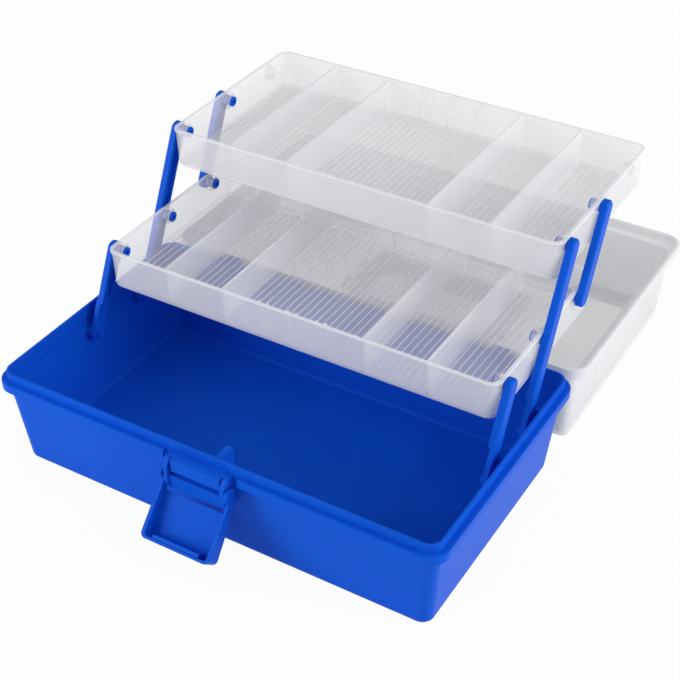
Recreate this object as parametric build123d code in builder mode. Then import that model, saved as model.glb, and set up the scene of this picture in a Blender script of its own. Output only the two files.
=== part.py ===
"""Cantilever tackle box, standing open: base bin, two stepped trays on six arms, lid laid back.

Millimetres, +Z up. The origin is the middle of the base bin's underside, X runs along the
box and -Y is the latch side. The trays are raised and the lid lies upside down behind.
"""
from build123d import *
from math import cos, radians, sin, sqrt
import os

# Clearances shared by the moving parts, and how far joined pieces run into each other
RUNNING_GAP = 0.1
SEAT_GAP = 0.3
OVERLAP = 1.0

# Base bin
FLANGE_HALF_LENGTH = 165.0
FLANGE_HALF_WIDTH = 97.0
FLANGE_CORNER = 13.3
FLANGE_REACH = 4.0
FLANGE_THICKNESS = 3.0
FLANGE_SKIRT_DROP = 6.0
FLANGE_SKIRT_THICKNESS = 1.6
SHELF_HEIGHT = 68.0
RIM_HEIGHT = 74.0
LIP_THICKNESS = 1.8
LEDGE_HEIGHT = 62.0
LEDGE_INSET = 1.0
BASE_DRAFT = 5.6
BASE_WALL = 2.2
BASE_FLOOR = 2.2
BASE_EDGE_RADIUS = 4.0
BASE_INNER_EDGE_RADIUS = 3.0
FLANGE_EDGE_RADIUS = 0.8
LIP_EDGE_RADIUS = 0.5
WALL_MARK_RADIUS = 1.3
WALL_MARK_DEPTH = 1.2
WALL_MARK_BEHIND_PIVOT = 5.2

# Trays
TRAY_HALF_LENGTH = 147.6
TRAY_HALF_WIDTH = 73.7
TRAY_HEIGHT = 28.7
TRAY_DRAFT = 1.4
TRAY_WALL = 1.8
TRAY_FLOOR = 1.6
TRAY_CORNER = 8.0
TRAY_EDGE_RADIUS = 2.0
RIM_BEAD_WIDTH = 2.4
RIM_BEAD_HEIGHT = 1.6
RIM_BEAD_RADIUS = 0.5
DIVIDER_OFFSETS = (53.6, 99.0)
DIVIDER_THICKNESS = 1.6
DIVIDER_DROP = 0.6
SLOT_PITCH = 22.0
SLOT_WIDTH = 6.4
SLOT_RIB = 1.6
FLOOR_RIB_PITCH = 5.0
FLOOR_RIB_WIDTH = 1.0
FLOOR_RIB_HEIGHT = 0.7
FLOOR_RIB_END_GAP = 5.0
GATE_RADIUS = 3.0
GATE_HEIGHT = 0.8

# Arms and their pivots: the pin spacing along the tray and the length between pivots
PIN_SPACING = 53.7
ARM_LENGTH = 61.6
ARM_LEAN_BACK = 26.8
MIDDLE_PIN_Y = -7.0
PIN_BELOW_RIM = 6.3
BASE_PIVOT_HEIGHT = 55.2
ARM_WIDTH = 11.0
ARM_INNER_X = 148.0
ARM_THICKNESS = 5.0
ARM_WEB = 2.0
ARM_FLANGE = 1.7
ARM_BEVEL = 1.1
ARM_FOOT_INNER_X = 149.6
ARM_FOOT_OUTER_X = 153.0
ARM_FOOT_LENGTH = 22.0
PIN_RADIUS = 3.6
PIN_TIP_X = 139.4
PIN_DIMPLE_RADIUS = 1.3
PIN_DIMPLE_DEPTH = 2.0
COLLAR_TIP_X = 140.4
COLLAR_TIP_RADIUS = 4.8
COLLAR_ROOT_RADIUS = 5.9
COLLAR_STEP_X = 143.2
BASE_PIN_RADIUS = 2.9
BASE_PIN_TIP_X = 147.2
BASE_BOSS_RADIUS = 4.8
STOP_DEPTH = 6.0
STOP_HEIGHT = 6.0
STOP_TOP_Z = 66.0
STOP_INNER_X = 150.5

# Lid, measured in its closed place
LID_GAP = 0.3
LID_BODY_INSET = 6.6
LID_CHANNEL_GAP = 0.6
LID_CHANNEL_PLATE = 1.8
LID_SKIRT_THICKNESS = 2.0
LID_DRAFT = 3.2
LID_WALL = 1.8
LID_PLATE = 2.0
LID_EDGE_RADIUS = 5.0
HINGE_BEHIND_FLANGE = 4.0
KNUCKLE_RADIUS = 3.2
KNUCKLE_LENGTH = 10.0
MIDDLE_KNUCKLE_LENGTH = 22.0
HINGE_OFFSET_X = 92.0
HINGE_PIN_RADIUS = 1.5
HINGE_PIN_OVERHANG = 1.2

# Carry handle, folded into the recess in the lid's top
HANDLE_LENGTH = 128.0
HANDLE_REACH = 42.0
HANDLE_GRIP_WIDTH = 14.0
HANDLE_LEG_WIDTH = 11.0
HANDLE_THICKNESS = 4.8
HANDLE_PIVOT_Y = 3.0
HANDLE_PIN_RADIUS = 1.9
HANDLE_PIN_LENGTH = 3.0
HANDLE_GAP = 1.6
RECESS_DEPTH = 6.0
RECESS_BEHIND_PIVOT = 8.0
RECESS_FLOOR = 2.0
RECESS_CORNER = 3.0
HANDLE_BOSS_LENGTH = 6.0

# Latch and its bracket on the base bin
LATCH_PIVOT_Y = -101.0
LATCH_PIVOT_Z = 57.0
LATCH_HANG_ANGLE = 47.0
LATCH_LENGTH = 44.3
LATCH_HALF_WIDTH = 25.0
LATCH_WALL = 1.8
LATCH_EAR_RADIUS = 5.0
LATCH_STUB_RADIUS = 2.4
LATCH_RIM_DEPTH = 3.0
LATCH_PLATE_START = 12.0
LATCH_PLATE_DEPTH_NEAR = 10.5
LATCH_PLATE_DEPTH_FAR = 14.2
LATCH_RIM_START = 8.0
LATCH_BAR_START = 39.9
LATCH_BAR_THICKNESS = 2.2
LATCH_BAR_HALF_WIDTH = 17.0
LATCH_CORNER = 4.0
LATCH_GRIP_START = 24.0
LATCH_GRIP_PROUD = 0.7
BRACKET_HALF_WIDTH = 22.6
BRACKET_BOTTOM_Z = 45.0
BRACKET_CHEEK = 3.0
BRACKET_CHEEK_FRONT = ((-100.6, 68.0), (-104.5, 63.5), (-104.5, 52.0), (-102.0, BRACKET_BOTTOM_Z))
BRACKET_PANEL_FRONT = ((-99.4, 68.0), (-99.4, 56.0), (-103.0, 56.0), (-102.0, BRACKET_BOTTOM_Z))
BRACKET_BLOCK_HALF_WIDTH = 18.3
BRACKET_BLOCK_FRONT_Y = -102.4
BRACKET_BLOCK_BOTTOM_Z = 59.0
BRACKET_BLOCK_RADIUS = 0.6
BRACKET_BEAD_WIDTH = 1.1
BRACKET_BEAD_HEIGHT = 0.9
FLANGE_NOTCH_OUTER_X = 27.4
FLANGE_NOTCH_DEPTH = 2.8
KEEPER_HALF_WIDTH = 15.0
KEEPER_REACH = 9.0
KEEPER_TOP_Z = 95.8
KEEPER_THICKNESS = 3.4

# Front locating rib inside the base bin
LOCATOR_X = 7.2
LOCATOR_THICKNESS = 4.6
LOCATOR_TOP_Z = 69.5

# Sizes worked out from the values above
LIP_HALF_LENGTH = FLANGE_HALF_LENGTH - FLANGE_REACH
LIP_HALF_WIDTH = FLANGE_HALF_WIDTH - FLANGE_REACH
LIP_CORNER = FLANGE_CORNER - FLANGE_REACH
WALL_TOP_HALF_LENGTH = LIP_HALF_LENGTH - LEDGE_INSET
WALL_TOP_HALF_WIDTH = LIP_HALF_WIDTH - LEDGE_INSET
WALL_CORNER = LIP_CORNER - LEDGE_INSET
BASE_BOTTOM_HALF_LENGTH = WALL_TOP_HALF_LENGTH - BASE_DRAFT
BASE_BOTTOM_HALF_WIDTH = WALL_TOP_HALF_WIDTH - BASE_DRAFT
ARM_RISE = sqrt(ARM_LENGTH**2 - ARM_LEAN_BACK**2)
BASE_REAR_PIVOT_Y = MIDDLE_PIN_Y + PIN_SPACING
BASE_FRONT_PIVOT_Y = BASE_REAR_PIVOT_Y - PIN_SPACING
TRAY_STEP_Y = ARM_LEAN_BACK + PIN_SPACING
LOWER_TRAY_Y = BASE_REAR_PIVOT_Y + ARM_LEAN_BACK - MIDDLE_PIN_Y
LOWER_PIN_Z = BASE_PIVOT_HEIGHT + ARM_RISE
UPPER_PIN_Z = LOWER_PIN_Z + ARM_RISE
ARM_OUTER_X = ARM_INNER_X + ARM_THICKNESS
LID_RIM_Z = SHELF_HEIGHT + LID_GAP
HINGE_Y = FLANGE_HALF_WIDTH + HINGE_BEHIND_FLANGE
HINGE_Z = SHELF_HEIGHT
LID_TOP_Z = 2 * HINGE_Z
LID_CHANNEL_Z = RIM_HEIGHT + LID_CHANNEL_GAP
LID_BODY_Z = LID_CHANNEL_Z + LID_CHANNEL_PLATE
LID_RIM_HALF_LENGTH = FLANGE_HALF_LENGTH - LID_BODY_INSET
LID_RIM_HALF_WIDTH = FLANGE_HALF_WIDTH - LID_BODY_INSET
LID_CORNER = FLANGE_CORNER - LID_BODY_INSET
RECESS_BOTTOM_Z = LID_TOP_Z - RECESS_DEPTH
HANDLE_PIVOT_Z = LID_TOP_Z - RECESS_DEPTH / 2
RECESS_FRONT_Y = HANDLE_PIVOT_Y - HANDLE_REACH - HANDLE_GRIP_WIDTH / 2 - HANDLE_GAP
RECESS_BACK_Y = HANDLE_PIVOT_Y + RECESS_BEHIND_PIVOT
RECESS_HALF_LENGTH = HANDLE_LENGTH / 2 + HANDLE_GAP

os.makedirs("parts", exist_ok=True)


def frustum(half_length, half_width, corner, top_half_length, top_half_width, top_corner, z0, z1):
    """A rounded block between two heights, from its lower outline to its upper one."""
    with BuildPart() as block:
        with BuildSketch(Plane.XY.offset(z0)):
            RectangleRounded(2 * half_length, 2 * half_width, corner)
        with BuildSketch(Plane.XY.offset(z1)):
            RectangleRounded(2 * top_half_length, 2 * top_half_width, top_corner)
        loft()
    return block.part


def slab(half_length, half_width, corner, z0, z1, edge_radius=0):
    """A rounded block with upright sides, whose upper edge may be rounded too."""
    with BuildPart() as block:
        with BuildSketch(Plane.XY.offset(z0)):
            RectangleRounded(2 * half_length, 2 * half_width, corner)
        extrude(amount=z1 - z0)
        if edge_radius:
            fillet(block.faces().sort_by(Axis.Z)[-1].edges(), edge_radius)
    return block.part


def side_plane(x):
    """The sketch plane at x, whose own axes are the part's +Y and +Z."""
    return Plane(origin=(x, 0, 0), x_dir=(0, 1, 0), z_dir=(1, 0, 0))


def rod(x0, x1, y, z, radius):
    """A round bar along X."""
    with BuildPart() as bar:
        with BuildSketch(side_plane(x0)):
            with Locations((y, z)):
                Circle(radius)
        extrude(amount=x1 - x0)
    return bar.part


def plate_along_x(x0, x1, outline):
    """A plate from x0 to x1 whose side view is the outline of (y, z) points."""
    with BuildPart() as plate:
        with BuildSketch(side_plane(x0)):
            with BuildLine():
                Polyline(*outline, close=True)
            make_face()
        extrude(amount=x1 - x0)
    return plate.part


def wall_inset(z):
    """How far the base bin's drafted wall stands in from its top at height z."""
    return BASE_DRAFT * (1 - z / LEDGE_HEIGHT)


def both_sides(shape):
    """The shape and its mirror image across the box's middle plane."""
    return [shape, mirror(shape, about=Plane.YZ)]


# Base bin: drafted walls, stepped rim, pivot pins, latch bracket and rear hinge knuckles
with BuildPart() as base_cavity:
    add(frustum(BASE_BOTTOM_HALF_LENGTH - BASE_WALL + wall_inset(LEDGE_HEIGHT - BASE_FLOOR),
                BASE_BOTTOM_HALF_WIDTH - BASE_WALL + wall_inset(LEDGE_HEIGHT - BASE_FLOOR),
                WALL_CORNER - BASE_WALL, WALL_TOP_HALF_LENGTH - BASE_WALL,
                WALL_TOP_HALF_WIDTH - BASE_WALL, WALL_CORNER - BASE_WALL,
                BASE_FLOOR, LEDGE_HEIGHT))
    fillet(base_cavity.faces().sort_by(Axis.Z)[0].edges(), BASE_INNER_EDGE_RADIUS)

with BuildPart() as base_shell:
    add(frustum(BASE_BOTTOM_HALF_LENGTH, BASE_BOTTOM_HALF_WIDTH, WALL_CORNER,
                WALL_TOP_HALF_LENGTH, WALL_TOP_HALF_WIDTH, WALL_CORNER, 0, LEDGE_HEIGHT))
    fillet(base_shell.faces().sort_by(Axis.Z)[0].edges(), BASE_EDGE_RADIUS)
    add(slab(LIP_HALF_LENGTH, LIP_HALF_WIDTH, LIP_CORNER, LEDGE_HEIGHT, RIM_HEIGHT,
             LIP_EDGE_RADIUS))
    add(slab(FLANGE_HALF_LENGTH, FLANGE_HALF_WIDTH, FLANGE_CORNER,
             SHELF_HEIGHT - FLANGE_THICKNESS, SHELF_HEIGHT, FLANGE_EDGE_RADIUS))
    with BuildSketch(Plane.XY.offset(SHELF_HEIGHT - FLANGE_SKIRT_DROP)):
        RectangleRounded(2 * FLANGE_HALF_LENGTH, 2 * FLANGE_HALF_WIDTH, FLANGE_CORNER)
        offset(amount=-FLANGE_SKIRT_THICKNESS, mode=Mode.SUBTRACT)
    extrude(amount=FLANGE_SKIRT_DROP - FLANGE_THICKNESS)
    add(slab(LIP_HALF_LENGTH - LIP_THICKNESS, LIP_HALF_WIDTH - LIP_THICKNESS,
             LIP_CORNER - LIP_THICKNESS, LEDGE_HEIGHT, RIM_HEIGHT), mode=Mode.SUBTRACT)

with BuildPart() as bracket_block:
    add(plate_along_x(-BRACKET_BLOCK_HALF_WIDTH, BRACKET_BLOCK_HALF_WIDTH, [
        (-FLANGE_HALF_WIDTH + FLANGE_EDGE_RADIUS, SHELF_HEIGHT), (BRACKET_BLOCK_FRONT_Y, SHELF_HEIGHT),
        (BRACKET_BLOCK_FRONT_Y, BRACKET_BLOCK_BOTTOM_Z),
        (-FLANGE_HALF_WIDTH + FLANGE_EDGE_RADIUS, BRACKET_BLOCK_BOTTOM_Z)]))
    fillet(bracket_block.faces().sort_by(Axis.Y)[0].edges(), BRACKET_BLOCK_RADIUS)

with BuildPart() as base_bin:
    add(base_shell.part)
    add(base_cavity.part, mode=Mode.SUBTRACT)
    pivot_wall_x = WALL_TOP_HALF_LENGTH - BASE_WALL / 2 - wall_inset(BASE_PIVOT_HEIGHT)
    wall_face_x = WALL_TOP_HALF_LENGTH - wall_inset(BASE_PIVOT_HEIGHT)
    for pivot_y in (BASE_FRONT_PIVOT_Y, BASE_REAR_PIVOT_Y):
        boss = rod(ARM_FOOT_OUTER_X + SEAT_GAP, pivot_wall_x, pivot_y, BASE_PIVOT_HEIGHT,
                   BASE_BOSS_RADIUS)
        pin = rod(BASE_PIN_TIP_X, pivot_wall_x, pivot_y, BASE_PIVOT_HEIGHT, BASE_PIN_RADIUS)
        add(both_sides(boss))
        add(both_sides(pin))
        mark = rod(wall_face_x - WALL_MARK_DEPTH, wall_face_x + OVERLAP,
                   pivot_y + WALL_MARK_BEHIND_PIVOT, BASE_PIVOT_HEIGHT, WALL_MARK_RADIUS)
        add(both_sides(mark), mode=Mode.SUBTRACT)
        stop_rise = STOP_TOP_Z - STOP_HEIGHT / 2 - BASE_PIVOT_HEIGHT
        stop_y = (pivot_y + stop_rise * ARM_LEAN_BACK / ARM_RISE
                  + ARM_WIDTH / 2 * ARM_LENGTH / ARM_RISE + STOP_HEIGHT / 2 * ARM_LEAN_BACK / ARM_RISE
                  + SEAT_GAP)
        stop = plate_along_x(STOP_INNER_X, pivot_wall_x, [
            (stop_y, STOP_TOP_Z - STOP_HEIGHT), (stop_y, STOP_TOP_Z),
            (stop_y + STOP_DEPTH, STOP_TOP_Z - STOP_HEIGHT)])
        add(both_sides(stop))
    locator_foot_y = -(WALL_TOP_HALF_WIDTH - BASE_WALL / 2 - wall_inset(0))
    locator_tip_y = -(TRAY_HALF_WIDTH + SEAT_GAP)
    add(plate_along_x(LOCATOR_X - LOCATOR_THICKNESS / 2, LOCATOR_X + LOCATOR_THICKNESS / 2, [
        (-(LIP_HALF_WIDTH - LIP_THICKNESS / 2), LOCATOR_TOP_Z), (locator_tip_y, LOCATOR_TOP_Z),
        (locator_tip_y, BASE_FLOOR / 2), (locator_foot_y, BASE_FLOOR / 2),
        (-(WALL_TOP_HALF_WIDTH - BASE_WALL / 2), LEDGE_HEIGHT)]))
    notch = plate_along_x(BRACKET_HALF_WIDTH, FLANGE_NOTCH_OUTER_X, [
        (-FLANGE_HALF_WIDTH - OVERLAP, SHELF_HEIGHT - FLANGE_SKIRT_DROP - OVERLAP),
        (-FLANGE_HALF_WIDTH - OVERLAP, SHELF_HEIGHT + OVERLAP),
        (-FLANGE_HALF_WIDTH + FLANGE_NOTCH_DEPTH, SHELF_HEIGHT + OVERLAP),
        (-FLANGE_HALF_WIDTH + FLANGE_NOTCH_DEPTH, SHELF_HEIGHT - FLANGE_SKIRT_DROP - OVERLAP)])
    add(both_sides(notch), mode=Mode.SUBTRACT)
    bracket_back_y = -(WALL_TOP_HALF_WIDTH - BASE_WALL / 2 - wall_inset(BRACKET_BOTTOM_Z))
    bracket_back = [(bracket_back_y, BRACKET_BOTTOM_Z), (bracket_back_y, SHELF_HEIGHT)]
    cheek_inner_x = BRACKET_HALF_WIDTH - BRACKET_CHEEK
    add(plate_along_x(-cheek_inner_x, cheek_inner_x, bracket_back + list(BRACKET_PANEL_FRONT)))
    cheek = plate_along_x(cheek_inner_x, BRACKET_HALF_WIDTH, bracket_back + list(BRACKET_CHEEK_FRONT))
    add(both_sides(cheek))
    add(bracket_block.part)
    add(plate_along_x(-BRACKET_BLOCK_HALF_WIDTH, BRACKET_BLOCK_HALF_WIDTH, [
        (-LIP_HALF_WIDTH + LIP_THICKNESS / 2, SHELF_HEIGHT - FLANGE_THICKNESS / 2),
        (-LIP_HALF_WIDTH + LIP_THICKNESS / 2, SHELF_HEIGHT + BRACKET_BEAD_HEIGHT),
        (-LIP_HALF_WIDTH - BRACKET_BEAD_WIDTH, SHELF_HEIGHT + BRACKET_BEAD_HEIGHT),
        (-LIP_HALF_WIDTH - BRACKET_BEAD_WIDTH, SHELF_HEIGHT - FLANGE_THICKNESS / 2)]))
    stub = rod(BRACKET_HALF_WIDTH - OVERLAP, LATCH_HALF_WIDTH - SEAT_GAP, LATCH_PIVOT_Y,
               LATCH_PIVOT_Z, LATCH_STUB_RADIUS)
    add(both_sides(stub))
    for side in (-1, 1):
        for end in (-1, 1):
            knuckle_x = (side * HINGE_OFFSET_X
                         + end * (MIDDLE_KNUCKLE_LENGTH / 2 + SEAT_GAP + KNUCKLE_LENGTH / 2))
            x0 = knuckle_x - KNUCKLE_LENGTH / 2
            x1 = knuckle_x + KNUCKLE_LENGTH / 2
            add(rod(x0, x1, HINGE_Y, HINGE_Z, KNUCKLE_RADIUS))
            add(plate_along_x(x0, x1, [
                (FLANGE_HALF_WIDTH - OVERLAP, HINGE_Z - KNUCKLE_RADIUS),
                (HINGE_Y, HINGE_Z - KNUCKLE_RADIUS),
                (HINGE_Y, HINGE_Z), (FLANGE_HALF_WIDTH - OVERLAP, HINGE_Z)]))
            add(rod(x0 - OVERLAP, x1 + OVERLAP, HINGE_Y, HINGE_Z,
                    HINGE_PIN_RADIUS + RUNNING_GAP / 2), mode=Mode.SUBTRACT)
base_bin.part.label = "base_bin"
export_step(base_bin.part, "parts/base_bin.step")


def tray_shape(centre_y, rim_z):
    """One divided tray with its floor ribs, divider slots and six pivot collars."""
    floor_z = rim_z - TRAY_HEIGHT
    foot_half_length = TRAY_HALF_LENGTH - TRAY_DRAFT
    foot_half_width = TRAY_HALF_WIDTH - TRAY_DRAFT
    inner_half_length = foot_half_length - TRAY_WALL
    inner_half_width = foot_half_width - TRAY_WALL
    with BuildPart() as tray:
        add(frustum(foot_half_length, foot_half_width, TRAY_CORNER,
                    TRAY_HALF_LENGTH - RIM_BEAD_WIDTH + TRAY_WALL,
                    TRAY_HALF_WIDTH - RIM_BEAD_WIDTH + TRAY_WALL, TRAY_CORNER, 0, TRAY_HEIGHT))
        fillet(tray.faces().sort_by(Axis.Z)[0].edges(), TRAY_EDGE_RADIUS)
        add(slab(TRAY_HALF_LENGTH, TRAY_HALF_WIDTH, TRAY_CORNER, TRAY_HEIGHT - RIM_BEAD_HEIGHT,
                 TRAY_HEIGHT, RIM_BEAD_RADIUS))
        add(frustum(inner_half_length, inner_half_width, TRAY_CORNER - TRAY_WALL,
                    TRAY_HALF_LENGTH - RIM_BEAD_WIDTH, TRAY_HALF_WIDTH - RIM_BEAD_WIDTH,
                    TRAY_CORNER - TRAY_WALL, TRAY_FLOOR, TRAY_HEIGHT), mode=Mode.SUBTRACT)
        divider_half_width = inner_half_width + TRAY_WALL / 2
        with BuildSketch(Plane.XY.offset(TRAY_FLOOR)):
            for offset_x in DIVIDER_OFFSETS:
                with Locations((-offset_x, 0), (offset_x, 0)):
                    Rectangle(DIVIDER_THICKNESS, 2 * divider_half_width)
            slot_centres = [(SLOT_PITCH * place, 0) for place in (-1, 0, 1)]
            with Locations(*slot_centres):
                for side in (-1, 1):
                    for end in (-1, 1):
                        with Locations((side * SLOT_WIDTH / 2,
                                        end * (divider_half_width - SLOT_RIB / 2))):
                            Rectangle(SLOT_RIB, TRAY_WALL + SLOT_RIB)
        extrude(amount=TRAY_HEIGHT - TRAY_FLOOR - DIVIDER_DROP)
        rib_count = int((inner_half_length - FLOOR_RIB_PITCH / 2) / FLOOR_RIB_PITCH)
        rib_places = [place * FLOOR_RIB_PITCH for place in range(-rib_count, rib_count + 1)]
        with BuildSketch(Plane.XY.offset(TRAY_FLOOR)):
            with Locations(*[(x, 0) for x in rib_places]):
                Rectangle(FLOOR_RIB_WIDTH, 2 * (inner_half_width - FLOOR_RIB_END_GAP))
        extrude(amount=FLOOR_RIB_HEIGHT)
        with BuildSketch(Plane.XZ.offset(-(inner_half_width + TRAY_WALL / 2))):
            with Locations((0, TRAY_HEIGHT / 2)):
                Circle(GATE_RADIUS)
        extrude(amount=TRAY_WALL / 2 + GATE_HEIGHT)
        pin_z = TRAY_HEIGHT - PIN_BELOW_RIM
        wall_x = TRAY_HALF_LENGTH - RIM_BEAD_WIDTH
        for place in (-1, 0, 1):
            pin_y = MIDDLE_PIN_Y + place * PIN_SPACING
            add(both_sides(rod(COLLAR_STEP_X, wall_x, pin_y, pin_z, COLLAR_ROOT_RADIUS)))
            add(both_sides(rod(COLLAR_TIP_X, COLLAR_STEP_X, pin_y, pin_z, COLLAR_TIP_RADIUS)))
            bore = rod(COLLAR_TIP_X - OVERLAP, TRAY_HALF_LENGTH + OVERLAP, pin_y, pin_z,
                       PIN_RADIUS + RUNNING_GAP)
            add(both_sides(bore), mode=Mode.SUBTRACT)
    return tray.part.moved(Location((0, centre_y, floor_z)))


with BuildPart() as lower_tray:
    add(tray_shape(LOWER_TRAY_Y, LOWER_PIN_Z + PIN_BELOW_RIM))
lower_tray.part.label = "lower_tray"
export_step(lower_tray.part, "parts/lower_tray.step")

with BuildPart() as upper_tray:
    add(tray_shape(LOWER_TRAY_Y + TRAY_STEP_Y, UPPER_PIN_Z + PIN_BELOW_RIM))
upper_tray.part.label = "upper_tray"
export_step(upper_tray.part, "parts/upper_tray.step")


def arm_shape(foot_y, foot_z, spans, thin_foot):
    """An arm on the +X side, leaning back from its foot pivot, with a pin at each later pivot.

    A foot with a bore is thin and flat where it turns on the base bin's pin. Without one, the
    foot is a pin like the others, in the tray's collar.
    """
    reach = spans * ARM_LENGTH
    along_y = ARM_LEAN_BACK / ARM_LENGTH
    along_z = ARM_RISE / ARM_LENGTH
    arm_plane = Plane(origin=(0, foot_y, foot_z), x_dir=(0, along_y, along_z), z_dir=(1, 0, 0))
    foot_middle = (ARM_FOOT_LENGTH - ARM_WIDTH / 2) / 2
    foot_size = ARM_FOOT_LENGTH + ARM_WIDTH / 2
    with BuildPart() as arm:
        with BuildSketch(arm_plane.offset(ARM_INNER_X)):
            with Locations((reach / 2, 0)):
                SlotOverall(reach + ARM_WIDTH, ARM_WIDTH)
            if thin_foot:
                with Locations((foot_middle, 0)):
                    Rectangle(foot_size, ARM_WIDTH, mode=Mode.SUBTRACT)
        extrude(amount=ARM_THICKNESS)
        chamfer(arm.faces().sort_by(Axis.X)[-1].edges(), ARM_BEVEL)
        with BuildSketch(arm_plane.offset(ARM_INNER_X)):
            with Locations((reach / 2, 0)):
                SlotOverall(reach + ARM_WIDTH - 2 * ARM_FLANGE, ARM_WIDTH - 2 * ARM_FLANGE)
            if thin_foot:
                with Locations((foot_middle, 0)):
                    Rectangle(foot_size + ARM_FLANGE, ARM_WIDTH, mode=Mode.SUBTRACT)
        extrude(amount=ARM_THICKNESS - ARM_WEB, mode=Mode.SUBTRACT)
        if thin_foot:
            with BuildSketch(arm_plane.offset(ARM_FOOT_INNER_X)):
                with Locations((ARM_FOOT_LENGTH / 2, 0)):
                    SlotOverall(ARM_FOOT_LENGTH + ARM_WIDTH, ARM_WIDTH)
            extrude(amount=ARM_FOOT_OUTER_X - ARM_FOOT_INNER_X)
            with BuildSketch(arm_plane.offset(ARM_FOOT_INNER_X)):
                Circle(BASE_PIN_RADIUS + RUNNING_GAP)
            extrude(amount=ARM_FOOT_OUTER_X - ARM_FOOT_INNER_X, mode=Mode.SUBTRACT)
        pin_places = [(place * ARM_LENGTH, 0) for place in range(1 if thin_foot else 0, spans + 1)]
        with BuildSketch(arm_plane.offset(PIN_TIP_X)):
            with Locations(*pin_places):
                Circle(PIN_RADIUS)
        extrude(amount=ARM_OUTER_X - ARM_WEB - PIN_TIP_X)
        with BuildSketch(arm_plane.offset(PIN_TIP_X)):
            with Locations(*pin_places):
                Circle(PIN_DIMPLE_RADIUS)
        extrude(amount=PIN_DIMPLE_DEPTH, mode=Mode.SUBTRACT)
    return arm.part


REAR_ARM_FOOT_Y = LOWER_TRAY_Y + MIDDLE_PIN_Y + PIN_SPACING
ARM_SHAPES = {
    "front_arm": arm_shape(BASE_FRONT_PIVOT_Y, BASE_PIVOT_HEIGHT, 1, True),
    "long_arm": arm_shape(BASE_REAR_PIVOT_Y, BASE_PIVOT_HEIGHT, 2, True),
    "rear_arm": arm_shape(REAR_ARM_FOOT_Y, LOWER_PIN_Z, 1, False),
}
for arm_name, right_arm in ARM_SHAPES.items():
    for side_name, arm_solid in zip(("right", "left"), both_sides(right_arm)):
        with BuildPart() as side_arm:
            add(arm_solid)
        side_arm.part.label = f"{arm_name}_{side_name}"
        export_step(side_arm.part, f"parts/{side_arm.part.label}.step")

# Lid, built closed over the base bin and then turned half a turn about its hinge
hinge_axis = Axis((0, HINGE_Y, HINGE_Z), (1, 0, 0))
with BuildPart() as lid_cavity:
    add(frustum(LID_RIM_HALF_LENGTH - LID_WALL, LID_RIM_HALF_WIDTH - LID_WALL, LID_CORNER - LID_WALL,
                LID_RIM_HALF_LENGTH - LID_DRAFT - LID_WALL, LID_RIM_HALF_WIDTH - LID_DRAFT - LID_WALL,
                LID_CORNER - LID_WALL, LID_CHANNEL_Z, LID_TOP_Z - LID_PLATE))
    fillet(lid_cavity.faces().sort_by(Axis.Z)[-1].edges(), LID_EDGE_RADIUS - LID_WALL)

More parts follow.
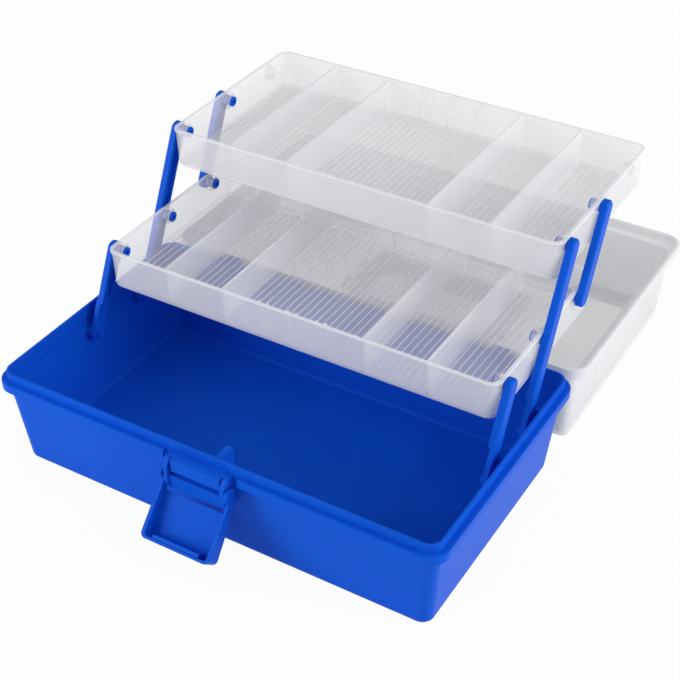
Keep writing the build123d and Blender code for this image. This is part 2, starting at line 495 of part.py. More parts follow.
with BuildPart() as closed_lid:
    add(frustum(LID_RIM_HALF_LENGTH, LID_RIM_HALF_WIDTH, LID_CORNER,
                LID_RIM_HALF_LENGTH - LID_DRAFT, LID_RIM_HALF_WIDTH - LID_DRAFT, LID_CORNER,
                LID_CHANNEL_Z, LID_TOP_Z))
    fillet(closed_lid.faces().sort_by(Axis.Z)[-1].edges(), LID_EDGE_RADIUS)
    add(slab(FLANGE_HALF_LENGTH, FLANGE_HALF_WIDTH, FLANGE_CORNER, LID_RIM_Z, LID_BODY_Z))
    add(slab(FLANGE_HALF_LENGTH - LID_SKIRT_THICKNESS, FLANGE_HALF_WIDTH - LID_SKIRT_THICKNESS,
             FLANGE_CORNER - LID_SKIRT_THICKNESS, LID_RIM_Z, LID_CHANNEL_Z), mode=Mode.SUBTRACT)
    add(lid_cavity.part, mode=Mode.SUBTRACT)
    recess_middle_y = (RECESS_FRONT_Y + RECESS_BACK_Y) / 2
    recess_depth_y = RECESS_BACK_Y - RECESS_FRONT_Y
    with BuildSketch(Plane.XY.offset(RECESS_BOTTOM_Z - RECESS_FLOOR)):
        with Locations((0, recess_middle_y)):
            RectangleRounded(2 * (RECESS_HALF_LENGTH + LID_WALL), recess_depth_y + 2 * LID_WALL,
                             RECESS_CORNER + LID_WALL)
    extrude(amount=LID_TOP_Z - LID_PLATE / 2 - RECESS_BOTTOM_Z + RECESS_FLOOR)
    for side in (-1, 1):
        boss_x = side * (RECESS_HALF_LENGTH + HANDLE_BOSS_LENGTH / 2)
        with BuildSketch(Plane.XY.offset(RECESS_BOTTOM_Z - RECESS_FLOOR)):
            with Locations((boss_x, HANDLE_PIVOT_Y)):
                Rectangle(HANDLE_BOSS_LENGTH, 2 * HANDLE_THICKNESS)
        extrude(amount=LID_TOP_Z - LID_PLATE / 2 - RECESS_BOTTOM_Z + RECESS_FLOOR)
    with BuildSketch(Plane.XY.offset(RECESS_BOTTOM_Z)):
        with Locations((0, recess_middle_y)):
            RectangleRounded(2 * RECESS_HALF_LENGTH, recess_depth_y, RECESS_CORNER)
    extrude(amount=RECESS_DEPTH + OVERLAP, mode=Mode.SUBTRACT)
    handle_bore = rod(RECESS_HALF_LENGTH - OVERLAP, HANDLE_LENGTH / 2 + HANDLE_PIN_LENGTH + SEAT_GAP,
                      HANDLE_PIVOT_Y, HANDLE_PIVOT_Z, HANDLE_PIN_RADIUS + RUNNING_GAP)
    add(both_sides(handle_bore), mode=Mode.SUBTRACT)
    keeper_wall_y = -(LID_RIM_HALF_WIDTH - LID_WALL / 2 - LID_DRAFT)
    keeper_front_y = -(LID_RIM_HALF_WIDTH + KEEPER_REACH - LID_DRAFT / 2)
    add(plate_along_x(-KEEPER_HALF_WIDTH, KEEPER_HALF_WIDTH, [
        (keeper_wall_y, KEEPER_TOP_Z), (keeper_front_y, KEEPER_TOP_Z),
        (keeper_front_y, KEEPER_TOP_Z - KEEPER_THICKNESS / 2),
        (keeper_wall_y, KEEPER_TOP_Z - 2 * KEEPER_THICKNESS)]))
    for side in (-1, 1):
        x0 = side * HINGE_OFFSET_X - MIDDLE_KNUCKLE_LENGTH / 2
        x1 = side * HINGE_OFFSET_X + MIDDLE_KNUCKLE_LENGTH / 2
        add(rod(x0, x1, HINGE_Y, HINGE_Z, KNUCKLE_RADIUS))
        add(plate_along_x(x0, x1, [
            (FLANGE_HALF_WIDTH - OVERLAP, LID_RIM_Z), (HINGE_Y, LID_RIM_Z),
            (HINGE_Y, HINGE_Z + KNUCKLE_RADIUS),
            (FLANGE_HALF_WIDTH - OVERLAP, HINGE_Z + KNUCKLE_RADIUS)]))
        add(rod(x0 - OVERLAP, x1 + OVERLAP, HINGE_Y, HINGE_Z, HINGE_PIN_RADIUS + RUNNING_GAP / 2),
            mode=Mode.SUBTRACT)

with BuildPart() as lid:
    add(closed_lid.part.rotate(hinge_axis, -180))
lid.part.label = "lid"
export_step(lid.part, "parts/lid.step")

# Carry handle, folded flat
with BuildPart() as folded_handle:
    handle_z = HANDLE_PIVOT_Z - HANDLE_THICKNESS / 2
    with BuildSketch(Plane.XY.offset(handle_z)):
        grip_front_y = HANDLE_PIVOT_Y - HANDLE_REACH - HANDLE_GRIP_WIDTH / 2
        leg_back_y = HANDLE_PIVOT_Y + HANDLE_THICKNESS / 2
        handle_middle_y = (grip_front_y + leg_back_y) / 2
        with Locations((0, handle_middle_y)):
            Rectangle(HANDLE_LENGTH, leg_back_y - grip_front_y)
        gap_front_y = grip_front_y + HANDLE_GRIP_WIDTH
        with Locations((0, (gap_front_y + leg_back_y + OVERLAP) / 2)):
            Rectangle(HANDLE_LENGTH - 2 * HANDLE_LEG_WIDTH, leg_back_y + OVERLAP - gap_front_y,
                      mode=Mode.SUBTRACT)
    extrude(amount=HANDLE_THICKNESS)
    upright_edges = folded_handle.edges().filter_by(Axis.Z)
    fillet(upright_edges.group_by(Axis.Y)[0], HANDLE_LEG_WIDTH / 2)
    fillet(folded_handle.faces().sort_by(Axis.Y)[-1].edges().filter_by(Axis.X)
           + folded_handle.faces().sort_by(Axis.Y)[-2].edges().filter_by(Axis.X),
           HANDLE_THICKNESS / 2 - RUNNING_GAP)
    trunnion = rod(HANDLE_LENGTH / 2 - OVERLAP, HANDLE_LENGTH / 2 + HANDLE_PIN_LENGTH,
                   HANDLE_PIVOT_Y, HANDLE_PIVOT_Z, HANDLE_PIN_RADIUS)
    add(both_sides(trunnion))

with BuildPart() as carry_handle:
    add(folded_handle.part.rotate(hinge_axis, -180))
carry_handle.part.label = "carry_handle"
export_step(carry_handle.part, "parts/carry_handle.step")

# Steel hinge pins, one through each set of knuckles
hinge_pin_half = MIDDLE_KNUCKLE_LENGTH / 2 + SEAT_GAP + KNUCKLE_LENGTH + HINGE_PIN_OVERHANG
for side_name, side in (("right", 1), ("left", -1)):
    with BuildPart() as hinge_pin:
        add(rod(side * HINGE_OFFSET_X - hinge_pin_half, side * HINGE_OFFSET_X + hinge_pin_half,
                HINGE_Y, HINGE_Z, HINGE_PIN_RADIUS))
    hinge_pin.part.label = f"hinge_pin_{side_name}"
    export_step(hinge_pin.part, f"parts/{hinge_pin.part.label}.step")

# Latch, hanging open. Its own axes run along it from the pivot and outward through its plate
hang = radians(LATCH_HANG_ANGLE)
latch_plane = Plane(origin=(0, LATCH_PIVOT_Y, LATCH_PIVOT_Z), x_dir=(0, -cos(hang), -sin(hang)),
                    z_dir=(1, 0, 0))
outward_axis = Axis((0, 0, 0), latch_plane.y_dir)


def latch_plate(x0, x1, outline):
    """A piece of the latch between x0 and x1, from (along, outward) points."""
    with BuildPart() as piece:
        with BuildSketch(latch_plane.offset(x0)):
            with BuildLine():
                Polyline(*outline, close=True)
            make_face()
        extrude(amount=x1 - x0)
    return piece.part


plate_slope = ((LATCH_PLATE_DEPTH_FAR - LATCH_PLATE_DEPTH_NEAR) / (LATCH_LENGTH - LATCH_PLATE_START))
grip_depth = LATCH_PLATE_DEPTH_NEAR + plate_slope * (LATCH_GRIP_START - LATCH_PLATE_START)
with BuildPart() as latch_grip:
    add(latch_plate(-LATCH_HALF_WIDTH - LATCH_GRIP_PROUD, LATCH_HALF_WIDTH + LATCH_GRIP_PROUD, [
        (LATCH_GRIP_START, LATCH_RIM_DEPTH), (LATCH_LENGTH, LATCH_RIM_DEPTH),
        (LATCH_LENGTH, LATCH_PLATE_DEPTH_FAR), (LATCH_GRIP_START, grip_depth)]))
    tip_corners = latch_grip.edges().filter_by(outward_axis).sort_by(Axis.Z)[:2]
    fillet(tip_corners, LATCH_CORNER)

with BuildPart() as latch_cavity:
    inner_half_width = LATCH_HALF_WIDTH - LATCH_WALL
    add(latch_plate(-inner_half_width, inner_half_width, [
        (-2 * LATCH_EAR_RADIUS, -LATCH_PLATE_DEPTH_FAR),
        (LATCH_LENGTH - LATCH_WALL, -LATCH_PLATE_DEPTH_FAR),
        (LATCH_LENGTH - LATCH_WALL, LATCH_PLATE_DEPTH_FAR - LATCH_WALL),
        (LATCH_PLATE_START, LATCH_PLATE_DEPTH_NEAR - LATCH_WALL),
        (LATCH_PLATE_START, LATCH_PLATE_DEPTH_FAR), (-2 * LATCH_EAR_RADIUS, LATCH_PLATE_DEPTH_FAR)]))
    tip_corners = latch_cavity.edges().filter_by(outward_axis).sort_by(Axis.Z)[:2]
    fillet(tip_corners, LATCH_CORNER - LATCH_WALL)

with BuildPart() as latch:
    add(latch_plate(-LATCH_HALF_WIDTH, LATCH_HALF_WIDTH, [
        (0, -LATCH_STUB_RADIUS), (LATCH_RIM_START, LATCH_RIM_DEPTH),
        (LATCH_GRIP_START + OVERLAP, LATCH_RIM_DEPTH), (LATCH_GRIP_START + OVERLAP, grip_depth),
        (LATCH_PLATE_START, LATCH_PLATE_DEPTH_NEAR), (0, LATCH_EAR_RADIUS)]))
    with BuildSketch(latch_plane.offset(-LATCH_HALF_WIDTH)):
        Circle(LATCH_EAR_RADIUS)
    extrude(amount=2 * LATCH_HALF_WIDTH)
    add(latch_grip.part)
    add(latch_cavity.part, mode=Mode.SUBTRACT)
    add(latch_plate(-LATCH_BAR_HALF_WIDTH, LATCH_BAR_HALF_WIDTH, [
        (LATCH_BAR_START, LATCH_RIM_DEPTH), (LATCH_BAR_START + LATCH_BAR_THICKNESS, LATCH_RIM_DEPTH),
        (LATCH_BAR_START + LATCH_BAR_THICKNESS, LATCH_PLATE_DEPTH_FAR - LATCH_WALL / 2),
        (LATCH_BAR_START, LATCH_PLATE_DEPTH_FAR - LATCH_WALL / 2)]))
    latch_bore = rod(-LATCH_HALF_WIDTH - OVERLAP, LATCH_HALF_WIDTH + OVERLAP, LATCH_PIVOT_Y,
                     LATCH_PIVOT_Z, LATCH_STUB_RADIUS + RUNNING_GAP)
    add(latch_bore, mode=Mode.SUBTRACT)
latch.part.label = "latch"
export_step(latch.part, "parts/latch.step")
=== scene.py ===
"""Tackle box standing open: plastic finishes, studio floor, lamps and camera."""
import math

import bpy
from bpy.props import FloatProperty, FloatVectorProperty, PointerProperty
from bpy.types import Operator, Panel, PropertyGroup
from mathutils import Matrix, Vector


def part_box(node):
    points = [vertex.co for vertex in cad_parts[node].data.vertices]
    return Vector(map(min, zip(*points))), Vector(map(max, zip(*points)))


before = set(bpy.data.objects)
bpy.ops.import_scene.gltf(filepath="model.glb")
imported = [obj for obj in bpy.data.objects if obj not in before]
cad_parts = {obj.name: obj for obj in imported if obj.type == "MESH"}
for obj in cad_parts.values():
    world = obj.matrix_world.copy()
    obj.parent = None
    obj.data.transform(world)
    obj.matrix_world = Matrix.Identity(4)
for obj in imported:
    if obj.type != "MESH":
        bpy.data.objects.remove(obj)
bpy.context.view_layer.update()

bl_info = {
    "name": "Cantilever tackle box",
    "version": (1, 0, 0),
    "blender": (4, 5, 0),
    "location": "View3D > Sidebar > Tackle box",
    "description": "Dresses an open cantilever tackle box and its studio",
    "category": "Object",
}

MILLIMETRE = 0.001
TRAYS = ("lower_tray", "upper_tray")
ARMS = tuple(f"{arm}_{side}" for arm in ("front_arm", "long_arm", "rear_arm")
             for side in ("right", "left"))
HINGE_PINS = ("hinge_pin_right", "hinge_pin_left")

# Heights within a tray, measured up from its underside
TRAY_FLOOR_TOP = 1.6 * MILLIMETRE
FLOOR_RIB_TOP = 2.3 * MILLIMETRE
# Within the lid: its rim lies this far below its highest knuckle, and the plate with the
# handle's recess takes up this much height
LID_RIM_BELOW_HINGE = 3.5 * MILLIMETRE
LID_PLATE_HEIGHT = 10.4 * MILLIMETRE
# How far above the floor's top the floor's own milkiness still holds
FLOOR_MARGIN = 0.1 * MILLIMETRE
# How far from its edge or rib top the painted highlight of gathered light reaches, and the
# share of that reach over which it has its full strength
RIM_BAND = 1.0 * MILLIMETRE
RIB_BAND = 0.35 * MILLIMETRE
FULL_BAND_SHARE = 0.7

# The grain and flow marks of moulded plastic
GRAIN_SIZE = 0.9 * MILLIMETRE
FLOW_SIZE = 60 * MILLIMETRE
STEEL_GRAIN_SIZE = 0.4 * MILLIMETRE
# How far the flow marks take the roughness down and up
SMOOTHER, ROUGHER = 0.05, 0.06

# Scuffs from handling: turned and stretched noise, of which only the high values show
SCUFF_SIZE = 14 * MILLIMETRE
SCUFF_AMOUNT = 0.3
SCUFF_TURN = (0.3, 0.5, 0.7)
SCUFF_STRETCH = (1.0, 9.0, 3.0)
SCUFF_NOISE_LOW, SCUFF_NOISE_HIGH = 0.60, 0.74
# A scuff's colour is the blue times the gain plus the lift, and it is rougher by this much
SCUFF_GAIN, SCUFF_LIFT = 1.25, 0.01
SCUFF_ROUGHNESS = 0.25

# Bump of the grain: strength and height
BLUE_BUMP = (0.10, 0.1 * MILLIMETRE)
FROSTED_BUMP = (0.02, 0.05 * MILLIMETRE)
STEEL_BUMP = (0.15, 0.05 * MILLIMETRE)
STEEL_DARK = (0.50, 0.51, 0.53)
STEEL_LIGHT = (0.62, 0.63, 0.65)
STEEL_ROUGHNESS = 0.32

# The Mix node's colour sockets, by place, because its other kinds have the same names
MIX_COLOUR_FIRST, MIX_COLOUR_SECOND, MIX_COLOUR_RESULT = 6, 7, 2

# The studio
FLOOR_WIDTH = 12.0
FLOOR_COLOUR = (0.92, 0.92, 0.92, 1.0)
FLOOR_WHITENESS = 0.95
WHITE = (1.0, 1.0, 1.0, 1.0)
SKY_COLOUR = (0.96, 0.98, 1.0, 1.0)
LAMP_AIM = (0, 0.08, 0.08)
KEY_PLACE, KEY_SIZE = (1.25, 0.20, 0.62), 0.9
FILL_PLACE, FILL_SIZE = (-0.85, -0.9, 0.48), 0.8
SENSOR_WIDTH = 36.0
# Enough for a line of sight through both trays and the lid
SEE_THROUGH_BOUNCES = 32


class BluePlasticSettings(PropertyGroup):
    """Colour and surface of the blue polypropylene."""
    colour: FloatVectorProperty(name="Colour", description="Blue of the bin, arms and latch",
                                subtype="COLOR", size=3, min=0, max=1,
                                default=(0.006, 0.108, 0.69))
    deep_colour: FloatVectorProperty(name="Deep colour",
                                     description="Darker flow marks in the blue",
                                     subtype="COLOR", size=3, min=0, max=1,
                                     default=(0.004, 0.088, 0.62))
    roughness: FloatProperty(name="Roughness", description="Roughness of the moulded surface",
                             default=0.34, min=0, max=1, subtype="FACTOR")
    specular: FloatProperty(name="Specular level", description="Strength of the surface's gloss",
                            default=0.035, min=0, max=1, subtype="FACTOR")
    grain_size: FloatProperty(name="Grain size", description="Size of the mould's fine grain",
                              default=GRAIN_SIZE, min=0.1 * MILLIMETRE, unit="LENGTH")


class FrostedPlasticSettings(PropertyGroup):
    """Colour and see-through look of the frosted polypropylene."""
    colour: FloatVectorProperty(name="Colour", description="Milky colour of the trays and lid",
                                subtype="COLOR", size=3, min=0, max=1,
                                default=(0.92, 0.915, 0.93))
    # Painted highlight: a whiter colour at rims and rib tops that stands in for light gathered in
    # the edges
    edge_highlight_colour: FloatVectorProperty(name="Edge highlight colour",
                                     description="Colour where edges gather light",
                                     subtype="COLOR", size=3, min=0, max=1,
                                     default=(0.95, 0.95, 0.97))
    wall_milkiness: FloatProperty(name="Wall milkiness",
                                  description="How much one face of a wall hides",
                                  default=0.33, min=0, max=1, subtype="FACTOR")
    lower_floor_milkiness: FloatProperty(name="Lower floor milkiness",
                                         description="How much one face of the lower floor hides",
                                         default=0.35, min=0, max=1, subtype="FACTOR")
    upper_floor_milkiness: FloatProperty(name="Upper floor milkiness",
                                         description="How much one face of the upper floor hides",
                                         default=0.50, min=0, max=1, subtype="FACTOR")
    lid_milkiness: FloatProperty(name="Lid milkiness",
                                 description="How much one face of the lid hides",
                                 default=0.54, min=0, max=1, subtype="FACTOR")
    lid_plate_milkiness: FloatProperty(name="Lid plate milkiness",
                                       description="How much one face of the lid's plate hides",
                                       default=0.66, min=0, max=1, subtype="FACTOR")
    edge_milkiness: FloatProperty(name="Edge milkiness", description="How much an edge hides",
                                  default=0.66, min=0, max=1, subtype="FACTOR")
    roughness: FloatProperty(name="Roughness", description="Roughness of the frosted surface",
                             default=0.32, min=0, max=1, subtype="FACTOR")
    specular: FloatProperty(name="Specular level", description="Strength of the surface's gloss",
                            default=0.25, min=0, max=1, subtype="FACTOR")


class StudioSettings(PropertyGroup):
    """Camera and light of the studio."""
    camera_azimuth: FloatProperty(name="Azimuth", description="Camera's turn from the latch side",
                                  default=math.radians(30.837), subtype="ANGLE", unit="ROTATION")
    camera_elevation: FloatProperty(name="Elevation", description="Camera's height angle",
                                    default=math.radians(36.492), subtype="ANGLE", unit="ROTATION")
    camera_roll: FloatProperty(name="Roll", description="Camera's tilt about its own line of sight",
                               default=math.radians(-0.085), subtype="ANGLE", unit="ROTATION")
    camera_distance: FloatProperty(name="Distance", description="From the aim point to the camera",
                                   default=0.900, unit="LENGTH")
    aim: FloatVectorProperty(name="Aim point", description="Point in the middle of the picture",
                             size=3, subtype="XYZ", unit="LENGTH",
                             default=(0.0431, -0.0015, 0.1183))
    lens: FloatProperty(name="Lens", description="Focal length on a 36 mm wide frame, in mm",
                        default=76.73, unit="CAMERA")
    world_strength: FloatProperty(name="World strength", description="Even light from all round",
                                  default=0.50, min=0)
    key_power: FloatProperty(name="Key power", description="Large lamp at the right, in watts",
                             default=10.5, min=0, unit="POWER")
    fill_power: FloatProperty(name="Fill power", description="Large lamp at the left, in watts",
                              default=9.0, min=0, unit="POWER")


class TackleBoxSettings(PropertyGroup):
    """All the settings of the tackle box and its studio."""
    blue: PointerProperty(type=BluePlasticSettings)
    frosted: PointerProperty(type=FrostedPlasticSettings)
    studio: PointerProperty(type=StudioSettings)


def settings():
    return bpy.context.scene.tackle_box


def deselect_all():
    bpy.ops.object.select_all(action="DESELECT")


def add_node(tree, kind, place, **values):
    """A shader node at a place in the editor, with its unlinked inputs set by name."""
    node = tree.nodes.new(kind)
    node.location = place
    for name, value in values.items():
        node.inputs[name.replace("_", " ")].default_value = value
    return node


def add_math(tree, operation, place, first, second=None):
    """A Math node whose inputs are numbers or sockets."""
    node = tree.nodes.new("ShaderNodeMath")
    node.operation = operation
    node.location = place
    for index, value in enumerate((first, second)):
        if value is None:
            continue
        if isinstance(value, bpy.types.NodeSocket):
            tree.links.new(value, node.inputs[index])
        else:
            node.inputs[index].default_value = value
    return node.outputs[0]


def new_group(name, inputs, outputs):
    """A shader node group with named number or colour sockets, and its two end nodes."""
    group = bpy.data.node_groups.new(name, "ShaderNodeTree")
    for socket_name, socket_type, default in inputs:
        socket = group.interface.new_socket(name=socket_name, in_out="INPUT",
                                            socket_type=socket_type)
        socket.default_value = default
    for socket_name, socket_type in outputs:
        group.interface.new_socket(name=socket_name, in_out="OUTPUT", socket_type=socket_type)
    entry = group.nodes.new("NodeGroupInput")
    entry.location = (-900, 0)
    leave = group.nodes.new("NodeGroupOutput")
    leave.location = (600, 0)
    return group, entry, leave


def moulding_grain_group():
    """Fine mould grain as a height, and slow flow marks as a mask."""
    group, entry, leave = new_group(
        "Moulding grain",
        [("Grain size", "NodeSocketFloat", GRAIN_SIZE),
         ("Flow size", "NodeSocketFloat", FLOW_SIZE)],
        [("Height", "NodeSocketFloat"), ("Flow", "NodeSocketFloat")])
    place = add_node(group, "ShaderNodeTexCoord", (-900, -300))
    grain_scale = add_math(group, "DIVIDE", (-700, 100), 1.0, entry.outputs["Grain size"])
    flow_scale = add_math(group, "DIVIDE", (-700, -100), 1.0, entry.outputs["Flow size"])
    grain = add_node(group, "ShaderNodeTexNoise", (-450, 150), Detail=2.0, Roughness=0.5)
    flow = add_node(group, "ShaderNodeTexNoise", (-450, -150), Detail=3.0, Roughness=0.55,
                    Distortion=0.8)
    for texture, scale in ((grain, grain_scale), (flow, flow_scale)):
        group.links.new(place.outputs["Object"], texture.inputs["Vector"])
        group.links.new(scale, texture.inputs["Scale"])
    group.links.new(grain.outputs["Fac"], leave.inputs["Height"])
    group.links.new(flow.outputs["Fac"], leave.inputs["Flow"])
    return group


def scuff_group():
    """Sparse short scuffs from handling, as a mask."""
    group, entry, leave = new_group(
        "Handling scuffs",
        [("Amount", "NodeSocketFloat", SCUFF_AMOUNT), ("Size", "NodeSocketFloat", SCUFF_SIZE)],
        [("Mask", "NodeSocketFloat")])
    place = add_node(group, "ShaderNodeTexCoord", (-900, -300))
    scale = add_math(group, "DIVIDE", (-700, 0), 1.0, entry.outputs["Size"])
    stretch = add_node(group, "ShaderNodeMapping", (-700, -300))
    stretch.inputs["Rotation"].default_value = SCUFF_TURN
    stretch.inputs["Scale"].default_value = SCUFF_STRETCH
    patches = add_node(group, "ShaderNodeTexNoise", (-450, -250), Detail=6.0, Roughness=0.7)
    group.links.new(place.outputs["Object"], stretch.inputs["Vector"])
    group.links.new(stretch.outputs["Vector"], patches.inputs["Vector"])
    group.links.new(scale, patches.inputs["Scale"])
    cut = add_node(group, "ShaderNodeMapRange", (-200, -200),
                   From_Min=SCUFF_NOISE_LOW, From_Max=SCUFF_NOISE_HIGH)
    group.links.new(patches.outputs["Fac"], cut.inputs["Value"])
    strength = add_math(group, "MULTIPLY", (50, -100), cut.outputs["Result"],
                        entry.outputs["Amount"])
    group.links.new(strength, leave.inputs["Mask"])
    return group


def edge_highlight_level_group():
    """A mask that is 1 near one height of the piece and fades to 0 at the end of a band; it places
    the painted edge highlight.
    """
    group, entry, leave = new_group(
        "Edge highlight level",
        [("Level", "NodeSocketFloat", 0.0), ("Band", "NodeSocketFloat", MILLIMETRE)],
        [("Mask", "NodeSocketFloat")])
    place = add_node(group, "ShaderNodeTexCoord", (-900, -300))
    split = add_node(group, "ShaderNodeSeparateXYZ", (-700, -300))
    group.links.new(place.outputs["Object"], split.inputs["Vector"])
    away = add_math(group, "SUBTRACT", (-500, -100), split.outputs["Z"], entry.outputs["Level"])
    away = add_math(group, "ABSOLUTE", (-350, -100), away)
    share = add_math(group, "DIVIDE", (-200, -100), away, entry.outputs["Band"])
    fade = add_node(group, "ShaderNodeMapRange", (0, -100), From_Min=1.0,
                    From_Max=FULL_BAND_SHARE)
    group.links.new(share, fade.inputs["Value"])
    group.links.new(fade.outputs["Result"], leave.inputs["Mask"])
    return group


def shared_group(name, maker):
    return bpy.data.node_groups.get(name) or maker()


def place_group(tree, group, place, **values):
    node = tree.nodes.new("ShaderNodeGroup")
    node.node_tree = group
    node.location = place
    for name, value in values.items():
        node.inputs[name.replace("_", " ")].default_value = value
    return node


def new_material(name):
    """A material with a Principled BSDF and its output, and its tree and that shader."""
    material = bpy.data.materials.new(name)
    material.use_nodes = True
    tree = material.node_tree
    tree.nodes.clear()
    output = add_node(tree, "ShaderNodeOutputMaterial", (900, 0))
    surface = add_node(tree, "ShaderNodeBsdfPrincipled", (600, 0))
    tree.links.new(surface.outputs["BSDF"], output.inputs["Surface"])
    return material, tree, surface


def grain_into(tree, surface, grain, roughness, bump_values):
    """Leads the grain to the Normal, and gives back the roughness that the flow marks vary."""
    strength, height = bump_values
    bump = add_node(tree, "ShaderNodeBump", (350, -300), Strength=strength, Distance=height)
    tree.links.new(grain.outputs["Height"], bump.inputs["Height"])
    tree.links.new(bump.outputs["Normal"], surface.inputs["Normal"])
    spread = add_node(tree, "ShaderNodeMapRange", (100, -150),
                      To_Min=roughness - SMOOTHER, To_Max=roughness + ROUGHER)
    tree.links.new(grain.outputs["Flow"], spread.inputs["Value"])
    return spread.outputs["Result"]


def mix_colours(tree, place, mask, first, second):
    """A colour between two colours, each a value or a socket."""
    mix = tree.nodes.new("ShaderNodeMix")
    mix.data_type = "RGBA"
    mix.location = place
    tree.links.new(mask, mix.inputs["Factor"])
    for index, value in ((MIX_COLOUR_FIRST, first), (MIX_COLOUR_SECOND, second)):
        socket = mix.inputs[index]
        if isinstance(value, bpy.types.NodeSocket):
            tree.links.new(value, socket)
        else:
            socket.default_value = (*value, 1.0)
    return mix.outputs[MIX_COLOUR_RESULT]


def blue_polypropylene():
    """Satin blue plastic with flow marks, fine grain and a few scuffs."""
    blue = settings().blue
    material, tree, surface = new_material("blue_polypropylene")
    grain = place_group(tree, shared_group("Moulding grain", moulding_grain_group), (-500, 0),
                        Grain_size=blue.grain_size)
    scuffs = place_group(tree, shared_group("Handling scuffs", scuff_group), (-500, -300))
    flow_colour = mix_colours(tree, (-100, 200), grain.outputs["Flow"],
                              blue.deep_colour, blue.colour)
    worn_colour = mix_colours(tree, (150, 200), scuffs.outputs["Mask"], flow_colour,
                              [channel * SCUFF_GAIN + SCUFF_LIFT for channel in blue.colour])
    tree.links.new(worn_colour, surface.inputs["Base Color"])
    roughness = grain_into(tree, surface, grain, blue.roughness, BLUE_BUMP)
    scuffed = add_math(tree, "MULTIPLY_ADD", (350, -100), scuffs.outputs["Mask"], SCUFF_ROUGHNESS)
    tree.links.new(roughness, scuffed.node.inputs[2])
    tree.links.new(scuffed, surface.inputs["Roughness"])
    surface.inputs["Specular IOR Level"].default_value = blue.specular
    return material


def frosted_polypropylene(name, wall_milkiness, floor, levels):
    """Milky see-through plastic, with a painted highlight at its edges.

    The floor is a (height, milkiness) pair for what lies below that height, and each of the
    levels is the (height, band) of an edge that gets a painted highlight for the light it gathers.
    """
    frosted = settings().frosted
    floor_height, floor_milkiness = floor
    material, tree, surface = new_material(name)
    grain = place_group(tree, shared_group("Moulding grain", moulding_grain_group), (-700, 0))
    level_group = shared_group("Edge highlight level", edge_highlight_level_group)
    mask = None
    for index, (height, band) in enumerate(levels):
        level = place_group(tree, level_group, (-700, -300 - 200 * index), Level=height, Band=band)
        if mask is None:
            mask = level.outputs["Mask"]
        else:
            mask = add_math(tree, "MAXIMUM", (-450, -300 - 200 * index), mask,
                            level.outputs["Mask"])
    # Painted highlight: edges and rib tops turn whiter for the light they gather
    colour = mix_colours(tree, (0, 200), mask, frosted.colour, frosted.edge_highlight_colour)
    tree.links.new(colour, surface.inputs["Base Color"])
    place = add_node(tree, "ShaderNodeTexCoord", (-900, -800))
    split = add_node(tree, "ShaderNodeSeparateXYZ", (-700, -800))
    tree.links.new(place.outputs["Object"], split.inputs["Vector"])
    below = add_math(tree, "LESS_THAN", (-500, -800), split.outputs["Z"], floor_height)
    body = add_node(tree, "ShaderNodeMapRange", (-250, -700),
                    To_Min=wall_milkiness, To_Max=floor_milkiness)
    tree.links.new(below, body.inputs["Value"])
    edge = add_math(tree, "MULTIPLY", (-250, -450), mask, frosted.edge_milkiness)
    alpha = add_math(tree, "MAXIMUM", (0, -450), body.outputs["Result"], edge)
    tree.links.new(alpha, surface.inputs["Alpha"])
    roughness = grain_into(tree, surface, grain, frosted.roughness, FROSTED_BUMP)
    tree.links.new(roughness, surface.inputs["Roughness"])
    surface.inputs["Specular IOR Level"].default_value = frosted.specular
    return material


def hinge_steel():
    """Drawn steel wire."""
    material, tree, surface = new_material("hinge_steel")
    grain = place_group(tree, shared_group("Moulding grain", moulding_grain_group), (-500, 0),
                        Grain_size=STEEL_GRAIN_SIZE)
    colour = mix_colours(tree, (0, 200), grain.outputs["Flow"], STEEL_DARK, STEEL_LIGHT)
    tree.links.new(colour, surface.inputs["Base Color"])
    surface.inputs["Metallic"].default_value = 1.0
    roughness = grain_into(tree, surface, grain, STEEL_ROUGHNESS, STEEL_BUMP)
    tree.links.new(roughness, surface.inputs["Roughness"])
    return material


def finish_node(name, material):
    """Gives a frame node its material."""
    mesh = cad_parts[name].data
    mesh.materials.clear()
    mesh.materials.append(material)


def blue_material():
    return bpy.data.materials.get("blue_polypropylene") or blue_polypropylene()


class FinishBaseBin(Operator):
    """Gives the base bin its blue plastic"""
    bl_idname = "tackle_box.finish_base_bin"
    bl_label = "Base bin"

    def execute(self, context):
        finish_node("base_bin", blue_material())
        return {"FINISHED"}


class FinishArms(Operator):
    """Gives the six folding arms their blue plastic"""
    bl_idname = "tackle_box.finish_arms"
    bl_label = "Arms"

    def execute(self, context):
        for arm in ARMS:
            finish_node(arm, blue_material())
        return {"FINISHED"}


class FinishFittings(Operator):
    """Gives the latch and the carry handle their blue plastic"""
    bl_idname = "tackle_box.finish_fittings"
    bl_label = "Latch and handle"

    def execute(self, context):
        for fitting in ("latch", "carry_handle"):
            finish_node(fitting, blue_material())
        return {"FINISHED"}


class FinishTrays(Operator):
    """Gives the two trays their frosted plastic"""
    bl_idname = "tackle_box.finish_trays"
    bl_label = "Trays"

    def execute(self, context):
        frosted = settings().frosted
        floor_milkiness = {"lower_tray": frosted.lower_floor_milkiness,
                           "upper_tray": frosted.upper_floor_milkiness}
        for tray in TRAYS:
            low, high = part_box(tray)
            # The rim and the rib tops get the painted edge highlight
            levels = [(high.z, RIM_BAND), (low.z + FLOOR_RIB_TOP, RIB_BAND)]
            floor = (low.z + TRAY_FLOOR_TOP + FLOOR_MARGIN, floor_milkiness[tray])
            finish_node(tray, frosted_polypropylene(f"frosted_{tray}", frosted.wall_milkiness,
                                                    floor, levels))
        return {"FINISHED"}


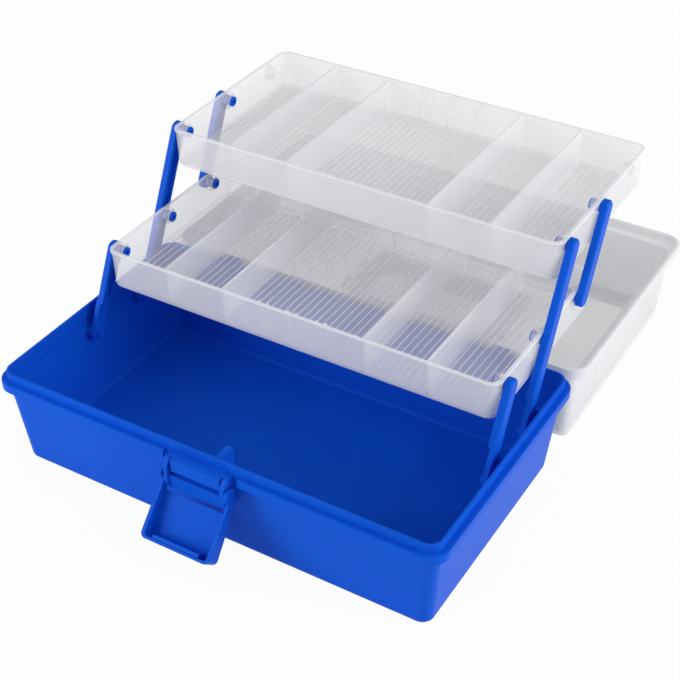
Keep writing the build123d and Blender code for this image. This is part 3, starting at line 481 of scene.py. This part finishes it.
class FinishLid(Operator):
    """Gives the lid its frosted plastic"""
    bl_idname = "tackle_box.finish_lid"
    bl_label = "Lid"

    def execute(self, context):
        frosted = settings().frosted
        low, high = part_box("lid")
        # The rim gets the painted edge highlight
        levels = [(high.z - LID_RIM_BELOW_HINGE, RIM_BAND)]
        plate = (low.z + LID_PLATE_HEIGHT, frosted.lid_plate_milkiness)
        finish_node("lid", frosted_polypropylene("frosted_lid", frosted.lid_milkiness,
                                                 plate, levels))
        return {"FINISHED"}


class FinishHingePins(Operator):
    """Gives the hinge pins their steel"""
    bl_idname = "tackle_box.finish_hinge_pins"
    bl_label = "Hinge pins"

    def execute(self, context):
        steel = hinge_steel()
        for pin in HINGE_PINS:
            finish_node(pin, steel)
        return {"FINISHED"}


def studio_floor():
    """A wide floor that shows white and keeps a soft shadow."""
    deselect_all()
    bpy.ops.mesh.primitive_plane_add(size=FLOOR_WIDTH, location=(0, 0, 0))
    floor = bpy.context.object
    floor.name = "studio_floor"
    material = bpy.data.materials.new("studio_floor")
    material.use_nodes = True
    tree = material.node_tree
    tree.nodes.clear()
    output = add_node(tree, "ShaderNodeOutputMaterial", (600, 0))
    paper = add_node(tree, "ShaderNodeBsdfDiffuse", (0, 100), Color=FLOOR_COLOUR)
    white = add_node(tree, "ShaderNodeEmission", (0, -100), Color=WHITE, Strength=1.0)
    paths = add_node(tree, "ShaderNodeLightPath", (-400, 200))
    seen = add_math(tree, "MAXIMUM", (-200, 200), paths.outputs["Is Camera Ray"],
                    paths.outputs["Is Glossy Ray"])
    seen = add_math(tree, "MAXIMUM", (-50, 300), seen, paths.outputs["Is Transmission Ray"])
    share = add_math(tree, "MULTIPLY", (100, 300), seen, FLOOR_WHITENESS)
    mix = add_node(tree, "ShaderNodeMixShader", (300, 0))
    tree.links.new(share, mix.inputs[0])
    tree.links.new(paper.outputs[0], mix.inputs[1])
    tree.links.new(white.outputs[0], mix.inputs[2])
    tree.links.new(mix.outputs[0], output.inputs["Surface"])
    floor.data.materials.append(material)


def studio_world(strength):
    """Even white light from all round, and a white background."""
    scene = bpy.context.scene
    world = bpy.data.worlds.new("studio_world")
    scene.world = world
    world.use_nodes = True
    tree = world.node_tree
    tree.nodes.clear()
    output = add_node(tree, "ShaderNodeOutputWorld", (600, 0))
    even = add_node(tree, "ShaderNodeBackground", (0, 100), Color=SKY_COLOUR, Strength=strength)
    white = add_node(tree, "ShaderNodeBackground", (0, -100), Color=WHITE, Strength=1.0)
    paths = add_node(tree, "ShaderNodeLightPath", (-400, 200))
    seen = add_math(tree, "MAXIMUM", (-200, 200), paths.outputs["Is Camera Ray"],
                    paths.outputs["Is Transmission Ray"])
    mix = add_node(tree, "ShaderNodeMixShader", (300, 0))
    tree.links.new(seen, mix.inputs[0])
    tree.links.new(even.outputs[0], mix.inputs[1])
    tree.links.new(white.outputs[0], mix.inputs[2])
    tree.links.new(mix.outputs[0], output.inputs["Surface"])


def soft_lamp(name, place, size, power):
    """A square area lamp that points at the middle of the box."""
    deselect_all()
    bpy.ops.object.light_add(type="AREA", location=place)
    lamp = bpy.context.object
    lamp.name = name
    lamp.data.shape = "SQUARE"
    lamp.data.size = size
    lamp.data.energy = power
    lamp.rotation_euler = (Vector(LAMP_AIM) - Vector(place)).to_track_quat("-Z", "Y").to_euler()


def studio_camera(studio):
    """The camera at the photograph's angle."""
    away = Vector((math.sin(studio.camera_azimuth) * math.cos(studio.camera_elevation),
                   -math.cos(studio.camera_azimuth) * math.cos(studio.camera_elevation),
                   math.sin(studio.camera_elevation)))
    place = Vector(studio.aim) + away * studio.camera_distance
    deselect_all()
    bpy.ops.object.camera_add(location=place)
    camera = bpy.context.object
    camera.name = "studio_camera"
    turn = (-away).to_track_quat("-Z", "Y").to_matrix().to_4x4()
    turn = turn @ Matrix.Rotation(studio.camera_roll, 4, "Z")
    camera.rotation_euler = turn.to_euler()
    camera.data.lens = studio.lens
    camera.data.sensor_width = SENSOR_WIDTH
    bpy.context.scene.camera = camera


class BuildStage(Operator):
    """Builds the floor, lamps, world and camera"""
    bl_idname = "tackle_box.build_stage"
    bl_label = "Studio"

    def execute(self, context):
        studio = settings().studio
        studio_floor()
        studio_world(studio.world_strength)
        soft_lamp("key_lamp", KEY_PLACE, KEY_SIZE, studio.key_power)
        soft_lamp("fill_lamp", FILL_PLACE, FILL_SIZE, studio.fill_power)
        studio_camera(studio)
        context.scene.view_settings.view_transform = "Standard"
        context.scene.cycles.transparent_max_bounces = SEE_THROUGH_BOUNCES
        return {"FINISHED"}


class TackleBoxPanel(Panel):
    """Lists the pieces and the studio in the sidebar"""
    bl_idname = "VIEW3D_PT_tackle_box"
    bl_label = "Tackle box"
    bl_space_type = "VIEW_3D"
    bl_region_type = "UI"
    bl_category = "Tackle box"

    def draw(self, context):
        layout = self.layout
        for part in ("blue", "frosted", "studio"):
            group = getattr(settings(), part)
            for name in group.bl_rna.properties.keys():
                if name not in ("rna_type", "name"):
                    layout.prop(group, name)
        for operator in OPERATORS:
            layout.operator(operator.bl_idname)


OPERATORS = (FinishBaseBin, FinishArms, FinishFittings, FinishTrays, FinishLid, FinishHingePins,
             BuildStage)
CLASSES = (BluePlasticSettings, FrostedPlasticSettings, StudioSettings, TackleBoxSettings,
           *OPERATORS, TackleBoxPanel)


def register():
    for each in CLASSES:
        bpy.utils.register_class(each)
    bpy.types.Scene.tackle_box = PointerProperty(type=TackleBoxSettings)


def unregister():
    del bpy.types.Scene.tackle_box
    for each in reversed(CLASSES):
        bpy.utils.unregister_class(each)


def main():
    register()
    bpy.ops.tackle_box.finish_base_bin()
    bpy.ops.tackle_box.finish_arms()
    bpy.ops.tackle_box.finish_fittings()
    bpy.ops.tackle_box.finish_trays()
    bpy.ops.tackle_box.finish_lid()
    bpy.ops.tackle_box.finish_hinge_pins()
    bpy.ops.tackle_box.build_stage()


if __name__ == "__main__":
    main()
